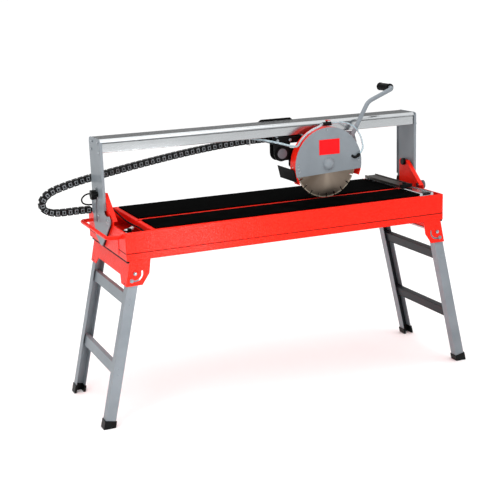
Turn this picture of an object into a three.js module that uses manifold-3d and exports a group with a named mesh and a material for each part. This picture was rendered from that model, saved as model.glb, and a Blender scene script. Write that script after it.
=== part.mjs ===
// Bridge tile saw on folding legs: a water tray with a rubber-topped table, a tilting bridge
// with an aluminium rail, and a cutting head that rolls along the rail and plunges on a pin.
// Millimetres, +X along the rail, +Y from the front to the back, +Z up.

import * as THREE from 'three';
import { mergeVertices } from 'three/addons/utils/BufferGeometryUtils.js';
import Module from 'manifold-3d';

const wasm = await Module();
wasm.setup();

// ---- driving dimensions -------------------------------------------------------------------

const touchGap = 0.3; // air between pieces that touch
const tray = { halfLength: 755, width: 540, top: 820, seam: 732, bottom: 702, wall: 4, floor: 3 };
const table = { left: -640, right: 700, front: 6, back: 534, top: 820, plate: 3 };
const groove = { y: 202, halfWidth: 8, depth: 16, wall: 2.5 };
const mat = { left: -622, right: 632, front: 14, back: 512, thickness: 6, grooveMargin: 2, bareStrip: 24 };
const bracket = { topX: 742, cornerX: 764, cornerZ: 597, innerX: 694, heelX: 662, heelZ: 643,
  innerTopX: 654, depth: 513, sheet: 3, archFoot: 60, archTop: 96, archZ: 628 };
const leg = { pivotX: 724, pivotZ: 648, splayDegrees: 12.7, halfWidth: 22, depth: 40, sheet: 3,
  frontY: 3.6, backY: 509.4, topEnd: 12, bottomEnd: -650, rungs: [120, 418] };
const lockArc = { radius: 32, halfWidth: 4, fromDegrees: -116, toDegrees: 12 };
const rung = { height: 46, depth: 24, sheet: 2.5 };
const foot = { wall: 3.5, top: -630 };
const tilt = { y: 202, z: 830, pinRadius: 8, studY: 325, studZ: 927, studRadius: 6, range: 45 };
const upright = { inner: 764, sheet: 4, front: 248, back: 408, flange: 12.4, flangeFoot: 864, top: 1168 };
const gusset = { back: 371, top: 937, topFront: 285, toe: 162, toeZ: 836, sheet: 4, flange: 20 };
const rail = { front: 254, back: 389, bottom: 1111, top: 1167, wall: 5, corner: 20,
  grooveBottom: 1126, grooveTop: 1152, grooveDepth: 16 };
const plunge = { x: 60, z: 1038, pinRadius: 10, hangerRadius: 36, capRadius: 29, tubeRadius: 24 };
const arbor = { x: 262, z: 976 };
const blade = { radius: 150, front: 200.4, back: 203.6, segments: 22, gullet: 14, gulletWidth: 3,
  bore: 12.8 };
const guard = { z: 979, radius: 167, front: 172, coverSheet: 2, rimFront: 174.3, back: 225, sheet: 3,
  rightDegrees: -22, leftDegrees: 209 };
const motor = { radius: 64, front: 252.3, back: 368, coverBack: 396 };
const chainSize = { width: 32, height: 28, y: 430 };

// ---- materials ----------------------------------------------------------------------------

const finish = (color, roughness, metalness) =>
  new THREE.MeshStandardMaterial({ color, roughness, metalness });
const redEnamel = finish('#f03a2c', 0.35, 0.1);
const greyPowder = finish('#8f979e', 0.45, 0.3);
const railAluminium = finish('#d6d8da', 0.25, 0.9);
const darkAluminium = finish('#77746f', 0.35, 0.8);
const blackPaint = finish('#17181a', 0.5, 0.2);
const blackPlastic = finish('#141516', 0.6, 0);
const blackRubber = finish('#0b0c0c', 0.85, 0);
const zincSteel = finish('#b9bdc0', 0.3, 0.9);
const bladeSteel = finish('#8a7a68', 0.3, 0.9);
const clearHose = finish('#c9dde4', 0.2, 0);
const greyCap = finish('#575257', 0.5, 0);

// ---- geometry helpers ---------------------------------------------------------------------

const radians = THREE.MathUtils.degToRad;

function toSolid(geometry) {
  const bare = geometry.clone();
  for (const name of ['normal', 'uv']) bare.deleteAttribute(name);
  const merged = mergeVertices(bare, 1e-4);
  return new wasm.Manifold(new wasm.Mesh({
    numProp: 3,
    vertProperties: new Float32Array(merged.attributes.position.array),
    triVerts: new Uint32Array(merged.index.array),
  }));
}

function toGeometry(solid) {
  const mesh = solid.getMesh();
  const geometry = new THREE.BufferGeometry();
  geometry.setAttribute('position', new THREE.BufferAttribute(mesh.vertProperties, 3));
  geometry.setIndex(new THREE.BufferAttribute(mesh.triVerts, 1));
  return geometry;
}

const join = (first, ...others) =>
  toGeometry(others.reduce((whole, piece) => whole.add(toSolid(piece)), toSolid(first)));
const cut = (first, ...tools) =>
  toGeometry(tools.reduce((whole, tool) => whole.subtract(toSolid(tool)), toSolid(first)));

function block(x0, x1, y0, y1, z0, z1) {
  const box = new THREE.BoxGeometry(x1 - x0, y1 - y0, z1 - z0);
  return box.translate((x0 + x1) / 2, (y0 + y1) / 2, (z0 + z1) / 2);
}

// Outlines run anticlockwise, whichever side of the saw they were mirrored to.
function asShape(points) {
  const ring = points.map(([a, b]) => new THREE.Vector2(a, b));
  return new THREE.Shape(THREE.ShapeUtils.area(ring) < 0 ? ring.reverse() : ring);
}

function extrude(points, depth, holes) {
  const shape = asShape(points);
  shape.holes = holes.map(asShape);
  return new THREE.ExtrudeGeometry(shape, { depth, bevelEnabled: false });
}

// An outline in X and Z, extruded along Y.
const slabY = (points, y0, y1, holes = []) =>
  extrude(points, y1 - y0, holes).rotateX(Math.PI / 2).translate(0, y1, 0);

// An outline in Y and Z, extruded along X.
const toYZ = new THREE.Matrix4().set(0, 0, 1, 0, 1, 0, 0, 0, 0, 1, 0, 0, 0, 0, 0, 1);
const slabX = (points, x0, x1, holes = []) =>
  extrude(points, x1 - x0, holes).applyMatrix4(toYZ).translate(x0, 0, 0);

// An outline in X and Y, extruded along Z.
const slabZ = (points, z0, z1) => extrude(points, z1 - z0, []).translate(0, 0, z0);

function arc(a, b, radius, fromDegrees, toDegrees, steps) {
  return Array.from({ length: steps + 1 }, (_, i) => {
    const angle = radians(fromDegrees + ((toDegrees - fromDegrees) * i) / steps);
    return [a + radius * Math.cos(angle), b + radius * Math.sin(angle)];
  });
}

const circle = (a, b, radius, steps = 16) => arc(a, b, radius, 0, 360, steps).slice(0, -1);

// A slot that follows an arc, with round ends.
function arcSlot(a, b, radius, halfWidth, fromDegrees, toDegrees) {
  const endAt = (degrees) => arc(a, b, radius, degrees, degrees, 1)[0];
  const [startA, startB] = endAt(fromDegrees);
  const [stopA, stopB] = endAt(toDegrees);
  return [
    ...arc(a, b, radius + halfWidth, fromDegrees, toDegrees, 8),
    ...arc(stopA, stopB, halfWidth, toDegrees, toDegrees + 180, 4).slice(1, -1),
    ...arc(a, b, radius - halfWidth, toDegrees, fromDegrees, 8),
    ...arc(startA, startB, halfWidth, fromDegrees + 180, fromDegrees + 360, 4).slice(1, -1),
  ];
}

// A solid turned about Y from a profile of [radius, y], placed on an axis at x, z.
const turnedY = (profile, x, z, sides = 18) =>
  new THREE.LatheGeometry(profile.map(([r, y]) => new THREE.Vector2(r, y)), sides)
    .translate(x, 0, z);

const rodY = (radius, y0, y1, x, z, sides) =>
  turnedY([[0, y0], [radius, y0], [radius, y1], [0, y1]], x, z, sides);

// A solid turned about X from a profile of [radius, x]: mirrored when the side is -1.
const turnedX = (profile, side, y, z, sides = 14) => {
  const ordered = side > 0 ? profile : [...profile].reverse();
  return new THREE.LatheGeometry(ordered.map(([r, x]) => new THREE.Vector2(r, side * x)), sides)
    .rotateZ(-Math.PI / 2).translate(0, y, z);
};

// A path through points with its corners rounded off.
function roundedPath(points, radius) {
  const corners = points.map((p) => new THREE.Vector3(...p));
  const path = new THREE.CurvePath();
  let from = corners[0];
  for (let i = 1; i < corners.length - 1; i += 1) {
    const corner = corners[i];
    const before = corner.clone().add(
      from.clone().sub(corner).setLength(radius));
    const after = corner.clone().add(corners[i + 1].clone().sub(corner).setLength(radius));
    path.add(new THREE.LineCurve3(from, before));
    path.add(new THREE.QuadraticBezierCurve3(before, corner, after));
    from = after;
  }
  path.add(new THREE.LineCurve3(from, corners.at(-1)));
  return path;
}

const smoothPath = (points) =>
  new THREE.CatmullRomCurve3(points.map((p) => new THREE.Vector3(...p)), false, 'centripetal');

const alongPath = (path, outline, steps) =>
  new THREE.ExtrudeGeometry(asShape(outline), { steps, extrudePath: path, bevelEnabled: false });

const tube = (path, radius, steps, sides = 8) =>
  alongPath(path, circle(0, 0, radius, sides), steps);

// ---- bodies -------------------------------------------------------------------------------

const saw = new THREE.Group();
const bridge = new THREE.Group();
const carriage = new THREE.Group();
const head = new THREE.Group();
bridge.add(carriage);
carriage.add(head);
saw.add(bridge);

function addPart(group, name, geometry, material) {
  const mesh = new THREE.Mesh(geometry, material);
  mesh.name = name;
  group.add(mesh);
  return mesh;
}

const sides = [['left', -1], ['right', 1]];

// ---- tray, skirt and table ----------------------------------------------------------------

function waterTray() {
  const { halfLength, width, top, seam, wall, floor } = tray;
  const z0 = seam + touchGap;
  const outer = block(-halfLength, halfLength, 0, width, z0, top);
  const hollow = block(-halfLength + wall, halfLength - wall, wall, width - wall, z0 + floor, top + 1);
  return cut(outer, hollow);
}

function baseFrame() {
  const { halfLength, width, seam, bottom, wall } = tray;
  const ledge = 26;
  const outer = block(-halfLength, halfLength, 0, width, bottom, seam);
  const under = block(-halfLength + wall, halfLength - wall, wall, width - wall, bottom - 1, seam - wall);
  const window = block(-halfLength + ledge, halfLength - ledge, ledge, width - ledge, bottom - 1, seam + 1);
  return cut(outer, under, window);
}

// One bent sheet: a plate with a groove that the blade dips into.
function tablePanel() {
  const { left, right, front, back, top, plate } = table;
  const { y, halfWidth, depth, wall } = groove;
  const under = top - plate;
  const section = [
    [front, under], [y - halfWidth - wall, under], [y - halfWidth - wall, top - depth - wall],
    [y + halfWidth + wall, top - depth - wall], [y + halfWidth + wall, under], [back, under],
    [back, top], [y + halfWidth, top], [y + halfWidth, top - depth], [y - halfWidth, top - depth],
    [y - halfWidth, top], [front, top],
  ];
  return slabX(section, left, right);
}

function addMat(name, front, back) {
  const z0 = table.top + touchGap;
  addPart(saw, name, block(mat.left, mat.right, front, back, z0, z0 + mat.thickness), blackRubber);
}

addPart(saw, 'water_tray', waterTray(), redEnamel);
addPart(saw, 'base_frame', baseFrame(), redEnamel);
addPart(saw, 'table_panel', tablePanel(), redEnamel);
const matEdge = groove.halfWidth + mat.grooveMargin;
addMat('front_mat', mat.front, groove.y - matEdge);
addMat('rear_mat', groove.y + matEdge + mat.bareStrip, mat.back);

// ---- bail handle, pump and its lead -------------------------------------------------------

const bail = { x: -818, front: 42, back: 432, z: 797, radius: 8, bend: 22 };
const bailRoot = -tray.halfLength - touchGap;
addPart(saw, 'bail_handle', tube(roundedPath([
  [bailRoot, bail.front, bail.z], [bail.x, bail.front, bail.z],
  [bail.x, bail.back, bail.z], [bailRoot, bail.back, bail.z],
], bail.bend), bail.radius, 28, 10), redEnamel);

function waterPump() {
  const z0 = tray.seam + tray.floor + 2 * touchGap;
  const bodyOutline = [[-735, 82], [-725, 70], [-672, 70], [-660, 82], [-660, 160], [-670, 170],
    [-725, 170], [-735, 160]];
  const bodyBlock = slabZ(bodyOutline, z0, z0 + 48);
  const spout = new THREE.CylinderGeometry(9, 9, 30, 12).rotateX(Math.PI / 2)
    .translate(-700, 120, z0 + 60);
  return join(bodyBlock, spout);
}

addPart(saw, 'water_pump', waterPump(), blackPlastic);
addPart(saw, 'pump_lead', tube(smoothPath([
  [-751, 420, 865], [-728, 409, 866], [-706, 388, 861], [-692, 325, 843], [-683, 235, 824],
  [-670, 186, 813], [-655, 120, 806], [-652, 72, 796], [-664, 50, 780], [-685, 46, 768],
  [-697, 54, 764], [-698, 69, 762],
]), 3.5, 32), blackRubber);

// ---- stop rail and fence at the right end of the table -------------------------------------

const stop = { left: 636, right: 706, front: 6, back: 504, height: 14, slot: 10, slotDepth: 3 };
const stopZ = table.top + touchGap;

function stopRail() {
  const { left, right, front, back, height, slot, slotDepth } = stop;
  const top = stopZ + height;
  const trackLeft = left + slot;
  const trackRight = right - slot;
  return slabY([
    [left, stopZ], [right, stopZ], [right, top - 2], [right - 2, top], [trackRight, top],
    [trackRight, top - slotDepth], [trackLeft, top - slotDepth], [trackLeft, top], [left + 2, top],
    [left, top - 2],
  ], front, back);
}

function slidingFence() {
  const z0 = stopZ + stop.height + touchGap;
  return slabY([
    [630, z0], [692, z0], [692, z0 + 14], [686, z0 + 14], [686, z0 + 9], [636, z0 + 9],
    [636, z0 + 12], [630, z0 + 12],
  ], 168, 492);
}

addPart(saw, 'stop_rail', stopRail(), railAluminium);
addPart(saw, 'sliding_fence', slidingFence(), darkAluminium);

// ---- leg brackets and folding legs ---------------------------------------------------------

function legBracket(side) {
  const { topX, cornerX, cornerZ, innerX, heelX, heelZ, innerTopX, depth, sheet } = bracket;
  const top = tray.bottom - touchGap;
  const mirrored = (points) => points.map(([x, z]) => [side * x, z]);
  const slot = arcSlot(0, 0, lockArc.radius, lockArc.halfWidth, lockArc.fromDegrees, lockArc.toDegrees)
    .map(([u, v]) => [leg.pivotX - u, leg.pivotZ + v]);
  const outline = mirrored([[topX, top], [cornerX, cornerZ], [innerX, cornerZ], [heelX, heelZ],
    [innerTopX, top]]);
  const holes = [mirrored(slot), circle(side * leg.pivotX, leg.pivotZ, 5.3, 10)];
  const front = slabY(outline, 0, sheet, holes);
  const rear = slabY(outline, depth - sheet, depth, holes);
  const end = slabY(mirrored([[topX, top], [cornerX, cornerZ], [cornerX - sheet, cornerZ],
    [topX - sheet, top]]), 0, depth);
  const arch = slabX([[bracket.archFoot, cornerZ - 9], [bracket.archTop, bracket.archZ],
    [depth - bracket.archTop, bracket.archZ], [depth - bracket.archFoot, cornerZ - 9]], -800, 800);
  return join(front, rear, cut(end, arch));
}

// A channel that opens towards +Y, drawn in X and Y.
const channelOutline = (halfWidth, depth, sheet) => [
  [-halfWidth, 0], [halfWidth, 0], [halfWidth, depth], [halfWidth - sheet, depth],
  [halfWidth - sheet, sheet], [-halfWidth + sheet, sheet], [-halfWidth + sheet, depth],
  [-halfWidth, depth],
];

const legPinHole = rodY(5.3, -20, 20, 0, 0, 10);

function legChannel() {
  const channel = slabZ(channelOutline(leg.halfWidth, leg.depth, leg.sheet), leg.bottomEnd, leg.topEnd);
  return cut(channel, legPinHole);
}

// A cap around the channel's end, cut level with the floor.
function footCap(side) {
  const { wall, top } = foot;
  const outer = [
    [-leg.halfWidth - wall, -wall], [leg.halfWidth + wall, -wall],
    [leg.halfWidth + wall, leg.depth + wall], [leg.halfWidth - leg.sheet - wall, leg.depth + wall],
    [leg.halfWidth - leg.sheet - wall, leg.sheet + wall],
    [-leg.halfWidth + leg.sheet + wall, leg.sheet + wall],
    [-leg.halfWidth + leg.sheet + wall, leg.depth + wall], [-leg.halfWidth - wall, leg.depth + wall],
  ];
  const pocketHalf = leg.halfWidth + touchGap;
  const pocket = slabZ(channelOutline(pocketHalf, leg.depth + 2 * touchGap, leg.sheet + 2 * touchGap),
    leg.bottomEnd - touchGap, top + 1).translate(0, -touchGap, 0);
  const below = block(-200, 200, -50, 100, -100, 0)
    .translate(0, 0, -leg.pivotZ).rotateY(side * radians(leg.splayDegrees));
  return cut(slabZ(outer, leg.bottomEnd - 40, top), pocket, below);
}

function legRung(side) {
  const { height, depth, sheet } = rung;
  const outer = side * depth / 2;
  const web = side * (depth / 2 - sheet);
  const y0 = leg.frontY + leg.sheet + touchGap;
  const y1 = leg.backY - leg.sheet - touchGap;
  return slabY([[outer, -height / 2], [outer, height / 2], [-outer, height / 2],
    [-outer, height / 2 - sheet], [web, height / 2 - sheet], [web, -height / 2 + sheet],
    [-outer, -height / 2 + sheet], [-outer, -height / 2]], y0, y1);
}

function legPivotRod() {
  const headFront = -touchGap;
  const headBack = bracket.depth + touchGap;
  return turnedY([[0, headFront - 5.5], [6, headFront - 5.5], [8.5, headFront - 3], [8.5, headFront],
    [5, headFront], [5, headBack], [8.5, headBack], [8.5, headBack + 5.5], [0, headBack + 5.5]], 0, 0, 10);
}

for (const [name, side] of sides) {
  addPart(saw, `${name}_leg_bracket`, legBracket(side), redEnamel);
  const legs = new THREE.Group();
  legs.position.set(side * leg.pivotX, 0, leg.pivotZ);
  legs.rotation.y = -side * radians(leg.splayDegrees);
  saw.add(legs);
  const channel = legChannel();
  const front = addPart(legs, `${name}_front_leg`, channel, greyPowder);
  front.position.y = leg.frontY;
  const rear = addPart(legs, `${name}_rear_leg`, channel.clone().rotateZ(Math.PI), greyPowder);
  rear.position.y = leg.backY;
  const frontFoot = addPart(legs, `${name}_front_foot`, footCap(side), blackPlastic);
  frontFoot.position.y = leg.frontY;
  const rearFoot = addPart(legs, `${name}_rear_foot`, footCap(-side).rotateZ(Math.PI), blackPlastic);
  rearFoot.position.y = leg.backY;
  ['upper', 'lower'].forEach((level, i) => {
    const bar = addPart(legs, `${name}_${level}_rung`, legRung(side), greyPowder);
    bar.position.z = -leg.rungs[i];
  });
  addPart(legs, `${name}_leg_pivot_rod`, legPivotRod(), zincSteel);
}

// ---- gussets, tilt pins, lock knobs and uprights -------------------------------------------

function tiltGusset(side) {
  const { back, top, topFront, toe, toeZ, sheet, flange } = gusset;
  const z0 = tray.top + touchGap;
  const outline = [[back, z0], [back, top - 10], [back - 10, top], [topFront, top], [toe, toeZ], [toe, z0]];
  const [outerX, innerX, flangeX] = [tray.halfLength, tray.halfLength - sheet, tray.halfLength - flange];
  const across = (points, a, b, holes) => slabX(points, Math.min(side * a, side * b),
    Math.max(side * a, side * b), holes);
  const plate = across(outline, outerX, innerX,
    [circle(tilt.y, tilt.z, tilt.pinRadius + touchGap),
      circle(tilt.studY, tilt.studZ, tilt.studRadius + touchGap)]);
  const slopeInset = 4;
  const slopeFlange = across([[toe, toeZ], [topFront, top], [topFront + slopeInset, top - 1],
    [toe + slopeInset, toeZ - 1]], outerX - 1, flangeX, []);
  return join(plate, slopeFlange);
}

// Head inside the gusset, shank through the gusset and flush with the upright.
function tiltPin(side) {
  const face = tray.halfLength - gusset.sheet - touchGap;
  return turnedX([[0, face - 7], [12, face - 7], [12, face], [tilt.pinRadius, face],
    [tilt.pinRadius, upright.inner + upright.sheet], [0, upright.inner + upright.sheet]],
  side, tilt.y, tilt.z);
}

// A star knob with its stud, which clamps the upright to the gusset.
function lockKnob(side) {
  const face = upright.inner + upright.sheet + touchGap;
  const lobes = 6;
  const rim = Array.from({ length: lobes * 4 }, (_, i) => {
    const angle = (i / (lobes * 4)) * 2 * Math.PI;
    const r = 20 + 2 * Math.cos(angle * lobes);
    return [tilt.studY + r * Math.cos(angle), tilt.studZ + r * Math.sin(angle)];
  });
  const [near, far] = [side * (face + 8), side * (face + 30)];
  const grip = slabX(rim, Math.min(near, far), Math.max(near, far));
  const stud = turnedX([[0, tray.halfLength - 10], [tilt.studRadius, tray.halfLength - 10],
    [tilt.studRadius, face], [13, face], [13, face + 9], [0, face + 9]], side, tilt.studY, tilt.studZ);
  return join(stud, grip);
}

function bridgeUpright(side) {
  const { inner, sheet, front, back, flange, flangeFoot, top } = upright;
  const outline = [
    [back, 850], [back, top - 16], [back - 6, top - 5], [back - 22, top], [front + 14, top],
    [front + 4, top - 4], [front, top - 12], [front, flangeFoot], [238, 853], [210, 850],
    ...arc(188, 834, 24, 110, 205, 5), [178, 814], [262, 742], [298, 710], [314, 705], [332, 708],
    [386, 734], [411, 800],
  ];
  const studAngle = THREE.MathUtils.radToDeg(Math.atan2(tilt.studZ - tilt.z, tilt.studY - tilt.y));
  const studRadius = Math.hypot(tilt.studZ - tilt.z, tilt.studY - tilt.y);
  const holes = [circle(tilt.y, tilt.z, tilt.pinRadius + touchGap),
    arcSlot(tilt.y, tilt.z, studRadius, tilt.studRadius + 2, studAngle - tilt.range - 1, studAngle + 1)];
  const span = (a, b) => [Math.min(side * a, side * b), Math.max(side * a, side * b)];
  const web = slabX(outline, ...span(inner, inner + sheet), holes);
  const frontFlange = block(...span(inner + 1, inner + sheet - flange), front, front + sheet,
    flangeFoot + 4, top - 12);
  const backFlange = block(...span(inner + 1, inner + sheet - 10), back - sheet, back, 858, top - 16);
  return join(web, frontFlange, backFlange);
}

// Welded to the left upright's back edge: it holds the chain's fixed end and a cable clip.
const chainBracket = block(-771, -746, upright.back - 1, chainSize.y - chainSize.width / 2 - touchGap,
  830, 924);

for (const [name, side] of sides) {
  addPart(saw, `${name}_gusset`, tiltGusset(side), redEnamel);
  addPart(saw, `${name}_tilt_pin`, tiltPin(side), zincSteel);
  addPart(saw, `${name}_lock_knob`, lockKnob(side), blackPlastic);
  const bare = bridgeUpright(side);
  addPart(bridge, `${name}_upright`, side < 0 ? join(bare, chainBracket) : bare, greyPowder);
}

// ---- rail, drag chain and cable loop ---------------------------------------------------------

function crossRail() {
  const { front, back, bottom, top, wall, corner, grooveBottom, grooveTop, grooveDepth } = rail;
  const outline = [
    [front + 2, bottom], [back - 2, bottom], [back, bottom + 2], [back, grooveBottom],
    [back - grooveDepth, grooveBottom], [back - grooveDepth, grooveTop], [back, grooveTop],
    ...arc(back - 8, top - 8, 8, 0, 90, 4), ...arc(front + corner, top - corner, corner, 90, 180, 5),
    [front, bottom + 2],
  ];
  const hollow = [[front + wall, bottom + wall], [back - grooveDepth - wall, bottom + wall],
    [back - grooveDepth - wall, top - wall], [front + corner, top - wall], [front + wall, top - corner]];
  const end = upright.inner - touchGap;
  return slabX(outline, -end, end, [hollow]);
}

addPart(bridge, 'cross_rail', crossRail(), railAluminium);
const chainHalf = [chainSize.width / 2, chainSize.height / 2];
const chainOutline = [[-1, -1], [1, -1], [1, 1], [-1, 1]]
  .map(([a, b]) => [a * chainHalf[0], b * chainHalf[1]]);
const chainRoute = [
  [72, 1080], [-57, 1077], [-253, 1060], [-491, 1028], [-704, 993], [-800, 976], [-890, 955],
  [-950, 934], [-984, 903], [-984, 871], [-953, 850], [-905, 844], [-840, 845], [-772, 844],
].map(([x, z]) => [x, chainSize.y, z]);
addPart(bridge, 'drag_chain', alongPath(smoothPath(chainRoute), chainOutline, 40), blackPlastic);
addPart(bridge, 'cable_loop', tube(smoothPath([
  [-752, 419, 913], [-772, 425, 915], [-795, 430, 909], [-811, 431, 891], [-806, 429, 875],
  [-790, 424, 868], [-772, 420, 867], [-753, 420, 865],
]), 3.5, 18), blackRubber);

// ---- carriage and its rollers ----------------------------------------------------------------

const frameX = { left: 20, right: 198 };
const roller = { radius: 12, axle: 4, xs: [45, 173] };
const lowerRollerZ = rail.bottom - roller.radius - touchGap;
const upperRollerZ = (rail.grooveBottom + rail.grooveTop) / 2;
const deckZ = lowerRollerZ - roller.radius - 6;

function carriageFrame() {
  const backPlate = slabY([[frameX.left, deckZ], [frameX.right, deckZ], [frameX.right, 1160],
    [frameX.right - 16, 1174], [frameX.left + 16, 1174], [frameX.left, 1164]], 395, 401);
  const deck = block(frameX.left, frameX.right, 240, 401, deckZ, deckZ + 5);
  const cheek = block(frameX.left, frameX.right, 240, 245, deckZ, rail.bottom - 2);
  const innerCheek = block(frameX.left, frameX.right, 284, 288, deckZ, rail.bottom - 2);
  const outline = [...arc(plunge.x, plunge.z, plunge.hangerRadius, -180, 0, 14), [104, deckZ + 2],
    [24, deckZ + 2]];
  const pinHole = circle(plunge.x, plunge.z, plunge.pinRadius + touchGap);
  const hanger = (y) => slabY(outline, y, y + 5, [pinHole]);
  const axles = roller.xs.flatMap((x) => [rodY(roller.axle, 244, 286, x, lowerRollerZ, 10),
    rodY(roller.axle, 374.5, 396, x, upperRollerZ, 10)]);
  return join(backPlate, deck, cheek, innerCheek, hanger(238), hanger(281), ...axles);
}

function rollerAt(x, y0, y1, z, radius) {
  const bore = roller.axle + touchGap;
  return turnedY([[bore, y0], [radius - 1, y0], [radius, y0 + 1], [radius, y1 - 1], [radius - 1, y1],
    [bore, y1], [bore, y0]], x, z, 14);
}

const upperRollerRadius = (rail.grooveTop - rail.grooveBottom) / 2 - touchGap;
addPart(carriage, 'carriage_frame', carriageFrame(), blackPaint);
['left', 'right'].forEach((name, i) => {
  addPart(carriage, `${name}_lower_roller`,
    rollerAt(roller.xs[i], 248, 281, lowerRollerZ, roller.radius), zincSteel);
  addPart(carriage, `${name}_upper_roller`,
    rollerAt(roller.xs[i], 376, 388, upperRollerZ, upperRollerRadius), zincSteel);
});
addPart(carriage, 'plunge_pin', turnedY([[0, 229], [plunge.capRadius - 2, 229], [plunge.capRadius, 231],
  [plunge.capRadius, 237.7], [plunge.pinRadius, 237.7], [plunge.pinRadius, 294], [0, 294]],
plunge.x, plunge.z), greyCap);

// ---- cutting head: plate, motor, switch -------------------------------------------------------

function motorPlate() {
  const outline = [[34, 1054], [34, 1022], [60, 1004], [100, 1004], [100, 978], [126, 955],
    [200, 912], [322, 912], [340, 976], [356, 1046], [340, 1056], [200, 1042], [60, 1068]];
  const plate = slabY(outline, 246, 252);
  const sleeve = rodY(plunge.tubeRadius, 243.5, 280.5, plunge.x, plunge.z, 16);
  const pinBore = rodY(plunge.pinRadius + touchGap, 200, 360, plunge.x, plunge.z, 16);
  const shaftBore = rodY(20, 200, 360, arbor.x, arbor.z, 16);
  return cut(join(plate, sleeve), pinBore, shaftBore);
}

const motorShell = [[50, motor.front], [motor.radius, motor.front], [motor.radius, motor.back],
  [12, motor.back], [12, motor.back - 6], [50, motor.back - 6], [50, motor.front]];
const fanCover = [[60, motor.back + touchGap], [motor.radius + 3, motor.back + touchGap],
  [motor.radius + 3, motor.coverBack - 10], [motor.radius - 6, motor.coverBack], [0, motor.coverBack],
  [0, motor.coverBack - 4], [60, motor.coverBack - 6], [60, motor.back + touchGap]];
addPart(head, 'motor_plate', motorPlate(), blackPaint);
addPart(head, 'motor_housing', turnedY(motorShell, arbor.x, arbor.z, 24), blackPaint);
addPart(head, 'motor_fan_cover', turnedY(fanCover, arbor.x, arbor.z, 24), blackPlastic);

const switchBox = { left: arbor.x + motor.radius + 3, right: 392, front: 266, back: 336,
  bottom: 930, top: 1012 };
const rocker = { y0: 286, y1: 316, z0: 952, z1: 990, x: 389 };
addPart(head, 'switch_box', cut(
  block(switchBox.left, switchBox.right, switchBox.front, switchBox.back, switchBox.bottom, switchBox.top),
  block(rocker.x - 4, switchBox.right + 1, rocker.y0 - 1, rocker.y1 + 1, rocker.z0 - 2, rocker.z1 + 2),
), blackPlastic);
addPart(head, 'switch_rocker', slabY([[rocker.x, rocker.z0], [rocker.x + 8, rocker.z0 + 2],
  [rocker.x + 5, 971], [rocker.x + 5, rocker.z1], [rocker.x, rocker.z1]], rocker.y0, rocker.y1), greyCap);

// ---- guard, cover, mud flap -------------------------------------------------------------------

function guardBack() {
  const { z, radius, rimFront, back, sheet, rightDegrees, leftDegrees } = guard;
  const plate = slabY(arc(arbor.x, z, radius, rightDegrees, leftDegrees, 26), back - sheet, back,
    [circle(arbor.x, arbor.z, 14)]);
  const rim = slabY([...arc(arbor.x, z, radius, rightDegrees, leftDegrees, 26),
    ...arc(arbor.x, z, radius - sheet, leftDegrees, rightDegrees, 26)], rimFront, back - sheet / 2);
  const boss = turnedY([[14, back - 1], [30, back - 1], [30, 245.7], [14, 245.7], [14, back - 1]],
    arbor.x, arbor.z);
  return join(plate, rim, boss);
}

function guardCover() {
  const { z, radius, front, coverSheet } = guard;
  const chord = [[424, 948], [104, 934]];
  const startDegrees = THREE.MathUtils.radToDeg(Math.atan2(chord[0][1] - z, chord[0][0] - arbor.x));
  const endDegrees = 360 + THREE.MathUtils.radToDeg(Math.atan2(chord[1][1] - z, chord[1][0] - arbor.x));
  const plate = slabY(arc(arbor.x, z, radius, startDegrees, endDegrees, 26), front, front + coverSheet);
  const dome = turnedY([[0, front - 19], [9, front - 18], [17, front - 15], [23.5, front - 10],
    [27, front - 4], [28, front + 1], [0, front + 1]], arbor.x - 2, arbor.z + 4);
  return join(plate, dome);
}

addPart(head, 'guard_back', guardBack(), redEnamel);
addPart(head, 'guard_cover', guardCover(), greyPowder);
addPart(head, 'mud_flap', slabY([[88, 968], [91.5, 968], [104.5, 911], [101, 911]], 178, 345), blackRubber);

// ---- feed handle ------------------------------------------------------------------------------

const handle = { y: 219, radius: 10, bend: 22, tipX: 622, tipZ: 1291 };

function handleTube() {
  const { y, radius, bend, tipX, tipZ } = handle;
  const stem = tube(roundedPath([[405, y, 1088], [492, y, 1239], [tipX, y, tipZ], [tipX, 332, tipZ]],
    bend), radius, 26, 10);
  const plate = slabY([[340, 1116], [420, 1112], [436, 1060], [424, 1012], [404, 1002], [330, 1036]],
    226, 232);
  const standoff = rodY(7, 231, 245.7, 342, 1044, 16);
  return join(stem, plate, standoff);
}

addPart(head, 'handle_tube', handleTube(), greyPowder);
const bore = handle.radius + touchGap;
addPart(head, 'handle_grip', turnedY([[bore, 243], [17.5, 243], [17.5, 334], [0, 334], [0, 332.5],
  [bore, 332.5], [bore, 243]], handle.tipX, handle.tipZ), blackRubber);

// ---- water valve and hoses --------------------------------------------------------------------

const valve = { y: 200, z: 1157.5 };
addPart(head, 'water_valve', join(
  new THREE.CylinderGeometry(9, 9, 42, 12).rotateZ(Math.PI / 2).translate(268, valve.y, valve.z),
  new THREE.CylinderGeometry(5, 5, 7, 10).rotateX(Math.PI / 2).translate(268, valve.y, valve.z + 9.5),
), blackPlastic);
addPart(head, 'valve_lever', join(
  block(262, 286, valve.y - 4, valve.y + 4, valve.z + 13.4, valve.z + 16.4),
  new THREE.CylinderGeometry(6, 6, 4, 10).rotateX(Math.PI / 2).translate(268, valve.y, valve.z + 15.4),
), redEnamel);

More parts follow.
